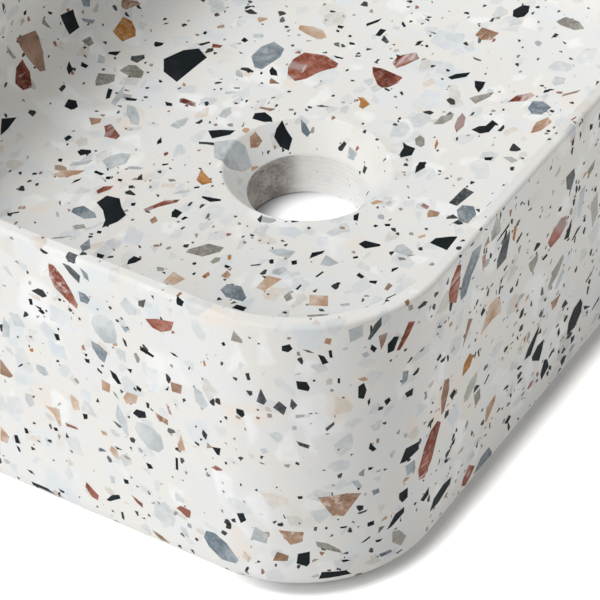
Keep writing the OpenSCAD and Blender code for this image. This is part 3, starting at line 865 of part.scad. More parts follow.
module basin_body() {
    color([0.87, 0.86, 0.83])
        difference() {
            outer_form();
            bowl_space();
            for (kind = KINDS) {
                outer_cutters(kind);
                inner_cutters(kind);
            }
        }
}
module black_stones() { color([0.12, 0.11, 0.11]) stones("black"); }
module slate_stones() { color([0.28, 0.29, 0.32]) stones("slate"); }
module blue_grey_stones() { color([0.52, 0.56, 0.61]) stones("blue_grey"); }
module pale_grey_stones() { color([0.76, 0.78, 0.78]) stones("pale_grey"); }
module white_marble_stones() { color([0.94, 0.94, 0.93]) stones("white_marble"); }
module red_stones() { color([0.55, 0.27, 0.23]) stones("red"); }
module salmon_stones() { color([0.80, 0.55, 0.47]) stones("salmon"); }
module peach_stones() { color([0.88, 0.76, 0.66]) stones("peach"); }
module ochre_stones() { color([0.76, 0.54, 0.28]) stones("ochre"); }
module tan_stones() { color([0.60, 0.47, 0.36]) stones("tan"); }
module taupe_stones() { color([0.60, 0.55, 0.52]) stones("taupe"); }
module sage_stones() { color([0.66, 0.68, 0.60]) stones("sage"); }

basin_body();
black_stones();
slate_stones();
blue_grey_stones();
pale_grey_stones();
white_marble_stones();
red_stones();
salmon_stones();
peach_stones();
ochre_stones();
tan_stones();
taupe_stones();
sage_stones();
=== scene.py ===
import bpy
from mathutils import Matrix, Vector


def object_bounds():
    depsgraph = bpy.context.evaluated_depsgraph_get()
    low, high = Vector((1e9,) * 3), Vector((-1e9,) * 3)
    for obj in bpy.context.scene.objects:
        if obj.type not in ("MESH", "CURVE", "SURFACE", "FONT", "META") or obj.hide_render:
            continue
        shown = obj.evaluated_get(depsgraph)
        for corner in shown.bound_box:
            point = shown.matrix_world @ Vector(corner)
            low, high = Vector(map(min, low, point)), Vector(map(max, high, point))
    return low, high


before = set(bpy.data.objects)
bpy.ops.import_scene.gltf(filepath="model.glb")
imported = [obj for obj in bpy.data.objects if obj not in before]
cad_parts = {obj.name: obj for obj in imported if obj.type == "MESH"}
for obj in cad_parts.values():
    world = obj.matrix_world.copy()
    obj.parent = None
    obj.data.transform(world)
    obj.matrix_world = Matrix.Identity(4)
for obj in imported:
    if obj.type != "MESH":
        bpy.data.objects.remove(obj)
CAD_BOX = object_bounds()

MM = 0.001

# Half the basin's length and width, and its height, in mm
HALF_LENGTH, HALF_WIDTH, HEIGHT = (side / MM for side in CAD_BOX[1])

# The camera, from a fit to the edges in the photograph. Places are in mm, in the frame
# of the CAD model, and the focal length is in pixels of a 600 px frame.
FRAME_PX = 600
FOCAL_PX = 3549.69
SENSOR_MM = 36.0
CAMERA_AT = Vector((-900.81, -541.27, 848.02))
CAMERA_ALONG = Vector((0.655069, 0.395779, -0.643618))
CAMERA_UP = Vector((0.551729, 0.331423, 0.765346))
# Only what lies between these two distances is drawn, in m
DRAWN_FROM = 0.05
DRAWN_TO = 20.0


def make_camera():
    data = bpy.data.cameras.new("camera")
    data.sensor_fit = "HORIZONTAL"
    data.sensor_width = SENSOR_MM
    data.lens = FOCAL_PX * SENSOR_MM / FRAME_PX
    data.clip_start = DRAWN_FROM
    data.clip_end = DRAWN_TO
    camera = bpy.data.objects.new("camera", data)
    back = -CAMERA_ALONG.normalized()
    right = CAMERA_UP.cross(back).normalized()
    up = back.cross(right)
    turn = Matrix((right, up, back)).transposed().to_4x4()
    camera.matrix_world = Matrix.Translation(CAMERA_AT * MM) @ turn
    bpy.context.scene.collection.objects.link(camera)
    bpy.context.scene.camera = camera


# Node trees

# Ground terrazzo has a satin finish with little gloss
SPECULAR = 0.02


class Tree:
    """Short calls for the nodes of one material. Lengths are in mm."""

    def __init__(self, name):
        self.material = bpy.data.materials.new(name)
        self.material.use_nodes = True
        self.nodes = self.material.node_tree.nodes
        self.links = self.material.node_tree.links
        self.nodes.clear()
        coords = self.add("ShaderNodeTexCoord").outputs["Object"]
        self.place = self.scaled(coords, 1 / MM)

    def add(self, kind, inputs=None, **settings):
        """A new node with its settings, and its inputs by name or by number."""
        node = self.nodes.new(kind)
        for key, value in settings.items():
            setattr(node, key, value)
        for key, value in (inputs or {}).items():
            self.put(node.inputs[key], value)
        return node

    def put(self, socket, value):
        """Feed a socket from another one, or set it. A colour gets an alpha of 1."""
        if isinstance(value, bpy.types.NodeSocket):
            self.links.new(value, socket)
        elif hasattr(value, "__len__") and len(value) < len(socket.default_value):
            socket.default_value = (*value, 1.0)
        else:
            socket.default_value = value

    def vector(self, operation, *vectors):
        inputs = dict(enumerate(vectors))
        return self.add("ShaderNodeVectorMath", inputs, operation=operation).outputs["Vector"]

    def scaled(self, vector, factor):
        inputs = {0: vector, "Scale": factor}
        return self.add("ShaderNodeVectorMath", inputs, operation="SCALE").outputs["Vector"]

    def dot(self, a, b):
        inputs = {0: a, 1: b}
        return self.add("ShaderNodeVectorMath", inputs, operation="DOT_PRODUCT").outputs["Value"]

    def length(self, vector):
        return self.add("ShaderNodeVectorMath", {0: vector}, operation="LENGTH").outputs["Value"]

    def math(self, operation, *numbers):
        inputs = dict(enumerate(numbers))
        return self.add("ShaderNodeMath", inputs, operation=operation).outputs[0]

    def plus(self, a, b):
        return self.math("ADD", a, b)

    def minus(self, a, b):
        return self.math("SUBTRACT", a, b)

    def times(self, first, *others):
        product = first
        for other in others:
            product = self.math("MULTIPLY", product, other)
        return product

    def larger(self, a, b):
        return self.math("MAXIMUM", a, b)

    def is_below(self, value, limit):
        return self.math("LESS_THAN", value, limit)

    def step(self, value, low, high, to_low=0.0, to_high=1.0):
        """A smooth step from to_low at low to to_high at high."""
        inputs = {"Value": value, "From Min": low, "From Max": high,
                  "To Min": to_low, "To Max": to_high}
        node = self.add("ShaderNodeMapRange", inputs, interpolation_type="SMOOTHSTEP")
        return node.outputs["Result"]

    def mix(self, amount, a, b, blend="MIX"):
        inputs = {"Factor": amount, "A": a, "B": b}
        node = self.add("ShaderNodeMix", inputs, data_type="RGBA", blend_type=blend)
        return node.outputs["Result"]

    def ramp(self, value, stops, steps=False):
        """The colour at a value, from stops of a position and a colour, with or without
        blending between them."""
        node = self.add("ShaderNodeValToRGB", {"Fac": value})
        node.color_ramp.interpolation = "CONSTANT" if steps else "LINEAR"
        elements = node.color_ramp.elements
        while len(elements) < len(stops):
            elements.new(1.0)
        for element, (position, colour) in zip(elements, stops):
            element.position = position
            element.color = (*colour, 1.0)
        return node.outputs["Color"]

    def noise(self, length, detail, rough, at=None, bend=0.0, output="Fac"):
        """A noise between 0 and 1 that changes over about length."""
        inputs = {"Vector": self.place if at is None else at, "Scale": 1.0 / length,
                  "Detail": detail, "Roughness": rough, "Distortion": bend}
        return self.add("ShaderNodeTexNoise", inputs).outputs[output]

    def cells(self, length, at, feature, output):
        inputs = {"Vector": at, "Scale": 1.0 / length, "Randomness": 1.0}
        return self.add("ShaderNodeTexVoronoi", inputs, feature=feature).outputs[output]

    def mapped(self, at, shift, turn, squeeze):
        """A place moved by shift, turned by turn and squeezed along each axis."""
        node = self.add("ShaderNodeMapping", {"Vector": at})
        node.inputs["Location"].default_value = shift
        node.inputs["Rotation"].default_value = turn
        node.inputs["Scale"].default_value = squeeze
        return node.outputs["Vector"]

    def split(self, colour):
        return self.add("ShaderNodeSeparateColor", {0: colour}).outputs

    def xyz(self):
        return self.add("ShaderNodeSeparateXYZ", {0: self.place}).outputs

    def flat(self):
        """The place in plan, as a vector from the origin."""
        return self.vector("MULTIPLY", self.place, (1.0, 1.0, 0.0))

    def bump(self, height, depth):
        inputs = {"Distance": depth * MM, "Height": height}
        return self.add("ShaderNodeBump", inputs).outputs["Normal"]

    def show(self, shader):
        """Make a shader the material's surface."""
        self.add("ShaderNodeOutputMaterial", {"Surface": shader.outputs[0]})
        return self.material

    def finish(self, colour, rough, normal=None):
        inputs = {"Base Color": colour, "Roughness": rough, "Specular IOR Level": SPECULAR}
        if normal is not None:
            inputs["Normal"] = normal
        return self.show(self.add("ShaderNodeBsdfPrincipled", inputs))


# The binder

BINDER_WARM = (0.788, 0.771, 0.742)
BINDER_COOL = (0.768, 0.775, 0.772)
BINDER_GRAIN = (0.700, 0.680, 0.645)

# Colours of the stones in the binder. Each has the share of them at which it starts, and
# it ends where the next one starts.
DARK_STONES = [
    (0.00, (0.012, 0.014, 0.016)), (0.42, (0.030, 0.031, 0.033)),
    (0.58, (0.110, 0.120, 0.130)), (0.66, (0.280, 0.090, 0.060)),
    (0.72, (0.360, 0.270, 0.200)), (0.80, (0.520, 0.330, 0.200)),
    (0.86, (0.400, 0.420, 0.440)), (0.94, (0.560, 0.520, 0.470)),
]
SPECKS = [
    (0.00, (0.014, 0.014, 0.015)), (0.50, (0.060, 0.055, 0.050)),
    (0.68, (0.300, 0.150, 0.100)), (0.80, (0.300, 0.280, 0.260)),
]
PALE_STONES = [
    (0.00, (0.87, 0.88, 0.88)), (0.30, (0.74, 0.77, 0.79)),
    (0.48, (0.88, 0.88, 0.87)), (0.66, (0.68, 0.72, 0.75)),
    (0.80, (0.73, 0.70, 0.66)), (0.90, (0.80, 0.74, 0.68)),
]
GREY_STONES = [
    (0.00, (0.62, 0.65, 0.67)), (0.35, (0.54, 0.57, 0.59)),
    (0.55, (0.66, 0.68, 0.69)), (0.78, (0.60, 0.57, 0.53)),
    (0.90, (0.68, 0.60, 0.52)),
]

# Layers of stones that melt into the binder, from large ones to small ones
MELTING_LAYERS = [
    dict(length=17.0, share=0.36, strength=0.80, soft=0.20, colours=PALE_STONES,
         shift=(3.1, 7.7, 1.3), turn=(0.4, 0.9, 0.2), squeeze=(1.0, 0.8, 1.0)),
    dict(length=9.5, share=0.30, strength=0.80, soft=0.18, colours=PALE_STONES,
         shift=(31.0, 5.0, 17.0), turn=(1.1, 0.2, 0.8), squeeze=(1.0, 1.0, 0.7)),
    dict(length=7.0, share=0.09, strength=0.75, soft=0.10, colours=GREY_STONES,
         shift=(14.0, 3.0, 71.0), turn=(0.9, 0.3, 0.5), squeeze=(0.8, 1.0, 1.0)),
    dict(length=4.2, share=0.10, strength=0.75, soft=0.09, colours=GREY_STONES,
         shift=(-9.0, 23.0, 4.0), turn=(0.1, 0.6, 1.9), squeeze=(0.7, 1.0, 1.0)),
]
MELTING_BEND = 0.35

# Layers of splinters of dark and coloured stone, and of specks
SPLINTER_LAYERS = [
    dict(length=3.6, share=0.014, core=0.08, colours=DARK_STONES,
         shift=(11.0, 2.0, 5.0), turn=(0.7, 0.1, 0.5), squeeze=(1.0, 0.65, 1.0)),
    dict(length=2.6, share=0.022, core=0.07, colours=DARK_STONES,
         shift=(-4.0, 9.0, 33.0), turn=(0.2, 1.2, 0.9), squeeze=(0.6, 1.0, 1.0)),
    dict(length=1.9, share=0.024, core=0.06, colours=SPECKS,
         shift=(8.0, -21.0, 6.0), turn=(1.4, 0.5, 0.3), squeeze=(1.0, 1.0, 0.6)),
    dict(length=1.2, share=0.012, core=0.04, colours=SPECKS,
         shift=(2.0, 41.0, -6.0), turn=(0.9, 1.4, 0.1), squeeze=(0.7, 1.0, 1.0)),
]
SPLINTER_STRENGTH = 0.96
SPLINTER_SOFT = 0.04
SPLINTER_BEND = 0.15

# More of the splinters lie in the long -Y face than elsewhere. Their number falls from
# the first share to the second between these two depths under the face, in mm.
CROWD_DEPTHS = (0.2, 1.2)
CROWD_SHARES = (2.2, 1.2)

# How far apart the edges of two stones in like cells may lie, as a share of a cell
EDGE_SPREAD = 0.12


def lay_stones(tree, ground, length, share, strength, colours, shift, turn, squeeze, soft,
               bend, core=0.0, hazy=False):
    """The ground's colour with stones in some cells of a 3-D cell pattern.

    A cell is length across, and share is how many of the cells hold a stone. core, soft
    and bend are shares of a cell: how far a stone's edge stays inside it, how wide that
    edge is and how far it bends. The pattern is mapped by shift, turn and squeeze. A
    hazy stone melts into the ground here and there.
    """
    at = tree.mapped(tree.place, shift, turn, squeeze)
    shake = tree.noise(length * 0.9, detail=2.0, rough=0.6, at=at, output="Color")
    shake = tree.vector("SUBTRACT", shake, (0.5, 0.5, 0.5))
    at = tree.vector("ADD", at, tree.scaled(shake, length * bend))
    chance, inset, tint = tree.split(tree.cells(length, at, "F1", "Color"))
    edge = tree.cells(length, at, "DISTANCE_TO_EDGE", "Distance")
    start = tree.plus(tree.times(inset, EDGE_SPREAD), core)
    inside = tree.step(tree.minus(edge, start), 0.0, soft)
    cover = tree.times(inside, tree.is_below(chance, share))
    if hazy:
        haze = tree.noise(length * 0.6, detail=3.0, rough=0.6)
        cover = tree.times(cover, tree.step(haze, 0.30, 0.60, to_low=0.40))
    return tree.mix(tree.times(cover, strength), ground, tree.ramp(tint, colours, steps=True))


def pale_ground(tree):
    """The binder and the pale stones that melt into it."""
    tone = tree.noise(17.0, detail=3.0, rough=0.55)
    colour = tree.mix(tree.step(tone, 0.38, 0.62), BINDER_WARM, BINDER_COOL)
    grain = tree.noise(1.1, detail=3.0, rough=0.7)
    colour = tree.mix(tree.step(grain, 0.40, 0.75, to_high=0.22), colour, BINDER_GRAIN)
    for layer in MELTING_LAYERS:
        colour = lay_stones(tree, colour, bend=MELTING_BEND, hazy=True, **layer)
    return colour


def splinters(tree, ground):
    """The ground with splinters and specks on it, crowded in the long -Y face."""
    y = tree.xyz()[1]
    crowd = tree.step(y, CROWD_DEPTHS[0] - HALF_WIDTH, CROWD_DEPTHS[1] - HALF_WIDTH,
                      *CROWD_SHARES)
    colour = ground
    for layer in SPLINTER_LAYERS:
        share = tree.times(crowd, layer["share"])
        colour = lay_stones(tree, colour, strength=SPLINTER_STRENGTH, soft=SPLINTER_SOFT,
                            bend=SPLINTER_BEND, **{**layer, "share": share})
    return colour


# The waste hole's wall is what lies within this distance of its axis and below this
# height, in mm. It is left as it was bored: faintly ringed, and on one side rough and
# stained. It is also painted paler on the side that faces the light, as painted light, and
# darker on the other side, where the dark brown is partly the stain and partly painted
# shade.
BORED_WITHIN = 22.8
BORED_BELOW = 18.1
STAIN_AND_SHADE_TOWARDS = (-0.517, 0.856, 0.0)
BORED_PALE = (0.90, 0.89, 0.87)
RING_BROWN = (0.42, 0.38, 0.34)
STAIN_AND_SHADE_LIGHTER = (0.36, 0.32, 0.29)
STAIN_AND_SHADE_DARKER = (0.17, 0.145, 0.13)
# The rings turn by this angle for each mm of height, and waver by up to this angle
RING_TURN = 2.9
RING_WAVER = 3.0
# How much of the pale tone, of the rings and of the stain with its painted shade shows,
# and how much less of the pale tone on the stained side, which is painted shade
PALE_AND_LIT_AMOUNT = 0.75
PALE_LOSS_IN_SHADE = 0.5
RING_AMOUNT = 0.14
STAIN_AND_SHADE_AMOUNT = 0.88
# The depth of the rings and pits as a share of the deepest relief
RING_DEPTH = 0.05
PIT_DEPTH = 0.8


def bored_wall(tree, ground):
    """Where the bored wall is, its colour over the ground's, and its relief."""
    flat = tree.flat()
    z = tree.xyz()[2]
    bored = tree.times(tree.is_below(tree.length(flat), BORED_WITHIN),
                       tree.is_below(z, BORED_BELOW))
    # The side away from the light, which holds the stain and the painted shade
    shade_and_stain_side = tree.dot(tree.vector("NORMALIZE", flat), STAIN_AND_SHADE_TOWARDS)
    shade_and_stain_side = tree.step(shade_and_stain_side, -0.02, 0.48)
    patches = tree.step(tree.noise(7.0, detail=3.0, rough=0.6), 0.30, 0.62, to_low=0.55)
    stain_and_shade_patches = tree.times(shade_and_stain_side, patches)
    waver = tree.times(tree.noise(9.0, detail=2.0, rough=0.5), RING_WAVER)
    rings = tree.math("SINE", tree.plus(tree.times(z, RING_TURN), waver))
    pits = tree.noise(1.3, detail=4.0, rough=0.7)

    # Painted light and shade: the pale tone is strong on the lit side and weak on the other
    pale = tree.minus(PALE_AND_LIT_AMOUNT, tree.times(shade_and_stain_side, PALE_LOSS_IN_SHADE))
    colour = tree.mix(pale, ground, BORED_PALE)
    ringed = tree.times(tree.step(rings, 0.3, 1.0, to_high=RING_AMOUNT),
                        tree.step(shade_and_stain_side, 0.0, 1.0, to_low=0.25))
    colour = tree.mix(ringed, colour, RING_BROWN)
    # The brown of the stain, which also stands for painted shade on that side
    stain_and_shade_tone = tree.mix(tree.step(pits, 0.40, 0.66), STAIN_AND_SHADE_LIGHTER, STAIN_AND_SHADE_DARKER)
    colour = tree.mix(tree.times(stain_and_shade_patches, STAIN_AND_SHADE_AMOUNT), colour, stain_and_shade_tone)
    relief = tree.plus(tree.times(rings, RING_DEPTH), tree.times(pits, stain_and_shade_patches, PIT_DEPTH))
    return bored, colour, relief


# The top of the rim is painted a little darker than the faces, as painted shade, within these
# depths in mm
RIM_PAINTED_SHADE = (0.945, 0.940, 0.930)
RIM_FROM = 2.0
RIM_TO = 0.6
# The underside is ground flat and left dull
UNDERSIDE_BELOW = 0.05
UNDERSIDE_TONE = (0.58, 0.56, 0.53)
UNDERSIDE_AMOUNT = 0.35
# Where the binder isn't polished it is this rough, and elsewhere between the other two
RAW_ROUGH = 0.85
POLISHED_ROUGH = (0.36, 0.46)
# The deepest relief in mm, and the depth of the pores as a share of it
RELIEF_DEPTH = 0.8
PORE_DEPTH = 0.03


def binder():
    tree = Tree("terrazzo_binder")
    z = tree.xyz()[2]
    colour = splinters(tree, pale_ground(tree))
    bored, bored_colour, bored_relief = bored_wall(tree, colour)
    colour = tree.mix(bored, colour, bored_colour)
    # Painted shade: the binder at the top of the rim is darkened
    painted_rim_shade = tree.step(z, HEIGHT - RIM_FROM, HEIGHT - RIM_TO)
    colour = tree.mix(painted_rim_shade, colour, RIM_PAINTED_SHADE, "MULTIPLY")
    under = tree.is_below(z, UNDERSIDE_BELOW)
    colour = tree.mix(tree.times(under, UNDERSIDE_AMOUNT), colour, UNDERSIDE_TONE)

    rough = tree.step(tree.noise(6.0, detail=3.0, rough=0.6), 0.3, 0.7, *POLISHED_ROUGH)
    rough = tree.larger(rough, tree.times(tree.larger(bored, under), RAW_ROUGH))
    pores = tree.step(tree.noise(0.9, detail=2.0, rough=0.6), 0.68, 0.76, to_high=-1.0)
    relief = tree.plus(tree.times(pores, PORE_DEPTH), tree.times(bored, bored_relief))
    return tree.finish(colour, rough, tree.bump(relief, RELIEF_DEPTH))


# The stones

STONE_ROUGH = 0.40
# How far a seed of 1 moves a stone's pattern, in mm
SEED_STEP = (37.0, 61.0, 23.0)
# Over how many mm these change: the tone that a stone has as a whole, whether an end of it
# turns to another colour, whether it has veins, and how far it melts into the binder
TONE_LENGTH = 15.0
END_LENGTH = 12.0
VEINED_LENGTH = 11.0
MELT_LENGTH = 9.0
# A stone's tone is made of one that it has as a whole and one that clouds it
OWN_SHARE = 0.60
CLOUD_SHARE = 0.40
# The bowl begins where a place reaches less than this share of the way to an outer face.
# The stones there are painted darker in tone, as painted shade.
BOWL_REACH = (0.955, 0.972)
# The turn of the bands in a stone, and how far the pattern is squeezed to draw them out
BEDDING_TURN = (0.5, 0.35, 0.9)
BEDDING_SQUEEZE = (0.22, 1.0, 1.0)
VEIN_STRENGTH = 0.8
END_STRENGTH = 0.75


def stone(name, tones, second=None, second_share=0.0, veins=None, runs_into=None, cloud=5.0,
          fade=0.0, deeper=0.25, seed=0.0):
    """Ground stone.

    tones run from stone to stone and across a large one, and second is a colour that
    clouds part of it. veins are soft bands, and runs_into is a colour that some stones
    turn to at one end. cloud is the size of the clouds, fade is how far parts melt into
    the pale binder, and deeper is how much darker the stones in the bowl are painted, as
    painted shade.
    """
    tree = Tree(name)
    at = tree.vector("ADD", tree.place, [seed * step for step in SEED_STEP])
    x, y = tree.xyz()[:2]
    reach = tree.larger(tree.math("DIVIDE", tree.math("ABSOLUTE", x), HALF_LENGTH),
                        tree.math("DIVIDE", tree.math("ABSOLUTE", y), HALF_WIDTH))
    own = tree.step(tree.noise(TONE_LENGTH, detail=1.0, rough=0.4, at=at), 0.36, 0.64)
    clouds = tree.step(tree.noise(cloud, detail=4.0, rough=0.6, at=at, bend=0.8), 0.30, 0.70)
    tone = tree.plus(tree.times(own, OWN_SHARE), tree.times(clouds, CLOUD_SHARE))
    # Painted shade: stones in the bowl are made darker in tone
    tone = tree.minus(tone, tree.step(reach, *BOWL_REACH, to_low=deeper, to_high=0.0))
    colour = tree.ramp(tone, [(i / (len(tones) - 1), c) for i, c in enumerate(tones)])
    if second:
        part = tree.noise(cloud * 0.8, detail=4.0, rough=0.6, at=at, bend=1.2)
        part = tree.step(part, 0.46, 0.66)
        colour = tree.mix(tree.times(part, second_share), colour, second)
    if runs_into:
        end = tree.step(tree.noise(END_LENGTH, detail=1.0, rough=0.5, at=at), 0.56, 0.63)
        colour = tree.mix(tree.times(end, END_STRENGTH), colour, runs_into)
    if veins:
        bedded = tree.mapped(at, (0.0, 0.0, 0.0), BEDDING_TURN, BEDDING_SQUEEZE)
        layers = tree.noise(cloud * 0.75, detail=3.0, rough=0.55, at=bedded, bend=0.5)
        band = tree.step(layers, 0.51, 0.62)
        veined = tree.noise(VEINED_LENGTH, detail=1.0, rough=0.5, at=at)
        veined = tree.step(veined, 0.46, 0.60)
        amount = tree.times(band, tree.times(veined, VEIN_STRENGTH))
        colour = tree.mix(amount, colour, veins)
    if fade:
        melt = tree.noise(MELT_LENGTH, detail=2.0, rough=0.5, at=at)
        colour = tree.mix(tree.step(melt, 0.42, 0.68, to_high=fade), colour, pale_ground(tree))
    return tree.finish(colour, STONE_ROUGH)


# What each node of stones is made of
STONES = {
    "black_stones": dict(
        name="black_stone",
        tones=[(0.012, 0.016, 0.019), (0.016, 0.020, 0.023), (0.028, 0.031, 0.034)]),
    "slate_stones": dict(
        name="slate_stone",
        tones=[(0.045, 0.050, 0.053), (0.075, 0.082, 0.087), (0.150, 0.162, 0.170)],
        second=(0.230, 0.240, 0.245), second_share=0.45, cloud=3.0),
    "blue_grey_stones": dict(
        name="blue_grey_stone",
        tones=[(0.135, 0.170, 0.200), (0.225, 0.270, 0.305), (0.410, 0.465, 0.505)],
        second=(0.480, 0.525, 0.560), second_share=0.40, cloud=4.0, fade=0.12, deeper=0.42),
    "pale_grey_stones": dict(
        name="pale_grey_stone",
        tones=[(0.400, 0.435, 0.455), (0.490, 0.525, 0.545), (0.600, 0.630, 0.650)],
        second=(0.680, 0.700, 0.715), second_share=0.45, fade=0.30),
    "white_marble_stones": dict(
        name="white_marble",
        tones=[(0.650, 0.685, 0.725), (0.700, 0.730, 0.765), (0.840, 0.850, 0.855)],
        fade=0.5),
    "red_stones": dict(
        name="red_stone",
        tones=[(0.120, 0.030, 0.020), (0.270, 0.080, 0.050), (0.450, 0.220, 0.180)],
        second=(0.520, 0.320, 0.260), second_share=0.32, veins=(0.640, 0.510, 0.480),
        runs_into=(0.420, 0.330, 0.320), cloud=3.6, seed=4.0),
    "salmon_stones": dict(
        name="salmon_stone",
        tones=[(0.220, 0.125, 0.080), (0.330, 0.205, 0.145), (0.480, 0.340, 0.270)],
        second=(0.280, 0.230, 0.195), second_share=0.50, veins=(0.460, 0.255, 0.160),
        cloud=4.0, deeper=0.05),
    "peach_stones": dict(
        name="peach_stone",
        tones=[(0.420, 0.250, 0.150), (0.560, 0.410, 0.300), (0.720, 0.630, 0.560)],
        second=(0.520, 0.330, 0.210), second_share=0.45, cloud=4.5, fade=0.40),
    "ochre_stones": dict(
        name="ochre_stone",
        tones=[(0.330, 0.125, 0.025), (0.450, 0.200, 0.060), (0.560, 0.310, 0.130)],
        second=(0.680, 0.500, 0.340), second_share=0.40, cloud=3.0),
    "tan_stones": dict(
        name="tan_stone",
        tones=[(0.270, 0.145, 0.085), (0.400, 0.240, 0.155), (0.540, 0.380, 0.280)],
        second=(0.540, 0.490, 0.450), second_share=0.40, veins=(0.680, 0.570, 0.490),
        cloud=3.0),
    "taupe_stones": dict(
        name="taupe_stone",
        tones=[(0.215, 0.202, 0.175), (0.300, 0.284, 0.250), (0.420, 0.400, 0.365)],
        second=(0.540, 0.515, 0.485), second_share=0.45, cloud=3.2, fade=0.10),
    "sage_stones": dict(
        name="sage_stone",
        tones=[(0.250, 0.262, 0.215), (0.380, 0.392, 0.340), (0.530, 0.540, 0.485)],
        second=(0.640, 0.645, 0.610), second_share=0.45, fade=0.20),
}


# The floor

# Half the floor's side and how far it lies under the basin, in m
FLOOR_HALF = 6.0
FLOOR_DROP = 0.0002
FLOOR_WHITE = (0.95, 0.95, 0.95)
# What the camera sees of the floor is lifted to white, apart from the shadow that
# lies close to the foot of the basin
FLOOR_LIFT = 2.1
FLOOR_GLOW = 0.42
# The shadow reaches this far, in m, and leaves this share of the light. It is full where
# the first share of the sky is open above the floor, and gone where the second one is. It
# lies towards one side, and fades away between two places in mm along that way.
SHADOW_REACH = 0.0115
SHADOW_LEVEL = 0.27
SHADOW_OPENNESS = (0.42, 0.96)
SHADOW_TOWARDS = (0.707, -0.707, 0.0)
SHADOW_FADES = (-95.0, -50.0)
# The floor is white under the waste hole too, with painted shade of its wall on one side
# and a dark line of painted contact shade at its foot there. Lengths are in mm.
HOLE_PATCH = 24.0
HOLE_LIT_AT = (4.1, -6.8, 0.0)
HOLE_LIT_TO = (16.5, 29.0)
HOLE_LIGHT = (1.05, 0.15)
HOLE_LINE_AT = (21.4, 22.6)
HOLE_LINE_DARK = 0.65
HOLE_LINE_FADES = (-60.0, 60.0)


def light_under_hole(tree, flat):
    """How bright the floor is under the waste hole."""
    away = tree.length(tree.vector("SUBTRACT", flat, HOLE_LIT_AT))
    shade = tree.step(away, *HOLE_LIT_TO, *HOLE_LIGHT)
    # A dark line of painted contact shade at the foot of the hole's wall
    line = tree.step(tree.length(flat), *HOLE_LINE_AT, to_high=HOLE_LINE_DARK)
    side = tree.step(tree.dot(flat, HOLE_LIT_AT), *HOLE_LINE_FADES, 1.0, 0.0)
    return tree.times(shade, tree.minus(1.0, tree.times(line, side)))


def floor_material():
    tree = Tree("floor")
    ray = tree.add("ShaderNodeLightPath").outputs
    seen = tree.larger(ray["Is Camera Ray"],
                       tree.larger(ray["Is Glossy Ray"], ray["Is Transmission Ray"]))
    flat = tree.flat()
    near = tree.add("ShaderNodeAmbientOcclusion", {"Distance": SHADOW_REACH}).outputs["AO"]
    side = tree.step(tree.dot(flat, SHADOW_TOWARDS), *SHADOW_FADES)
    shadow = tree.step(near, *SHADOW_OPENNESS, 1.0 - SHADOW_LEVEL, 0.0)
    unshaded = tree.minus(1.0, tree.times(shadow, side))
    in_hole = tree.is_below(tree.length(flat), HOLE_PATCH)
    outside = tree.minus(1.0, in_hole)

    lifted = tree.times(unshaded, FLOOR_LIFT, outside)
    colour = tree.mix(ray["Is Camera Ray"], FLOOR_WHITE, lifted)
    diffuse = tree.add("ShaderNodeBsdfDiffuse", {"Color": colour})
    strength = tree.plus(tree.times(outside, tree.times(unshaded, FLOOR_GLOW)),
                         tree.times(in_hole, light_under_hole(tree, flat)))
    glow = tree.add("ShaderNodeEmission", {"Strength": tree.times(seen, strength)})
    both = {0: diffuse.outputs[0], 1: glow.outputs[0]}
    return tree.show(tree.add("ShaderNodeAddShader", both))


def make_floor():
    corners = [(-FLOOR_HALF, -FLOOR_HALF, 0), (FLOOR_HALF, -FLOOR_HALF, 0),
               (FLOOR_HALF, FLOOR_HALF, 0), (-FLOOR_HALF, FLOOR_HALF, 0)]
    mesh = bpy.data.meshes.new("floor")
    mesh.from_pydata(corners, [], [(0, 1, 2, 3)])
    mesh.materials.append(floor_material())
    floor = bpy.data.objects.new("floor", mesh)
    floor.location.z = -FLOOR_DROP
    bpy.context.scene.collection.objects.link(floor)


# The light

# The camera sees a white background, and everything else is lit by this plain sky
SKY_COLOUR = (1.0, 0.982, 0.945, 1)
SKY_LEVEL = 0.226
BACKGROUND_COLOUR = (1, 1, 1, 1)
BACKGROUND_LEVEL = 1.0

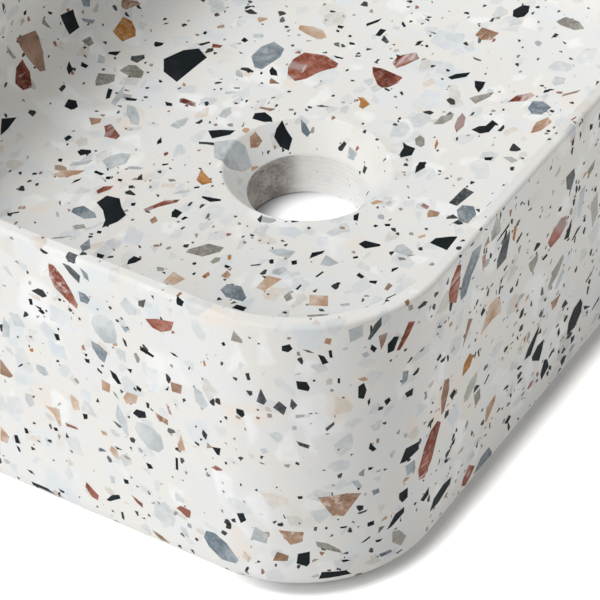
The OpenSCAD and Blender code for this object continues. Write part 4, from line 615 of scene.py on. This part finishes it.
# The lamps, with places and sizes in m. All of them aim at one point in the basin.
AIM = Vector((0, 0, 0.03))
COOL_LIGHT = (0.984, 0.992, 0.994)
WARM_LIGHT = (1.0, 0.98, 0.945)
LAMPS = [
    dict(name="key", at=(-0.45, 0.75, 2.1), size=(1.2, 1.0), watts=28.6, colour=COOL_LIGHT),
    dict(name="side", at=(-1.8, 0.6, 1.3), size=(1.2, 1.0), watts=24.6, colour=COOL_LIGHT),
    dict(name="low", at=(1.9, -1.2, 0.5), size=(1.0, 0.7), watts=17.8, colour=WARM_LIGHT),
]


def make_world():
    world = bpy.data.worlds.new("world")
    bpy.context.scene.world = world
    world.use_nodes = True
    nodes = world.node_tree.nodes
    links = world.node_tree.links
    nodes.clear()
    ray = nodes.new("ShaderNodeLightPath")
    background = nodes.new("ShaderNodeBackground")
    background.inputs["Color"].default_value = BACKGROUND_COLOUR
    background.inputs["Strength"].default_value = BACKGROUND_LEVEL
    sky = nodes.new("ShaderNodeBackground")
    sky.inputs["Color"].default_value = SKY_COLOUR
    sky.inputs["Strength"].default_value = SKY_LEVEL
    either = nodes.new("ShaderNodeMixShader")
    links.new(ray.outputs["Is Camera Ray"], either.inputs[0])
    links.new(sky.outputs[0], either.inputs[1])
    links.new(background.outputs[0], either.inputs[2])
    output = nodes.new("ShaderNodeOutputWorld")
    links.new(either.outputs[0], output.inputs["Surface"])


def make_lamp(name, at, size, watts, colour):
    data = bpy.data.lights.new(name, "AREA")
    data.shape = "RECTANGLE"
    data.size, data.size_y = size
    data.energy = watts
    data.color = colour
    lamp = bpy.data.objects.new(name, data)
    lamp.location = at
    lamp.rotation_mode = "QUATERNION"
    lamp.rotation_quaternion = (AIM - Vector(at)).to_track_quat("-Z", "Y")
    bpy.context.scene.collection.objects.link(lamp)


make_camera()
make_world()
make_floor()
for lamp in LAMPS:
    make_lamp(**lamp)

looks = {node: stone(**look) for node, look in STONES.items()}
looks["basin_body"] = binder()
for node, material in looks.items():
    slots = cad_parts[node].data.materials
    slots.clear()
    slots.append(material)

bpy.context.scene.view_settings.view_transform = "Standard"
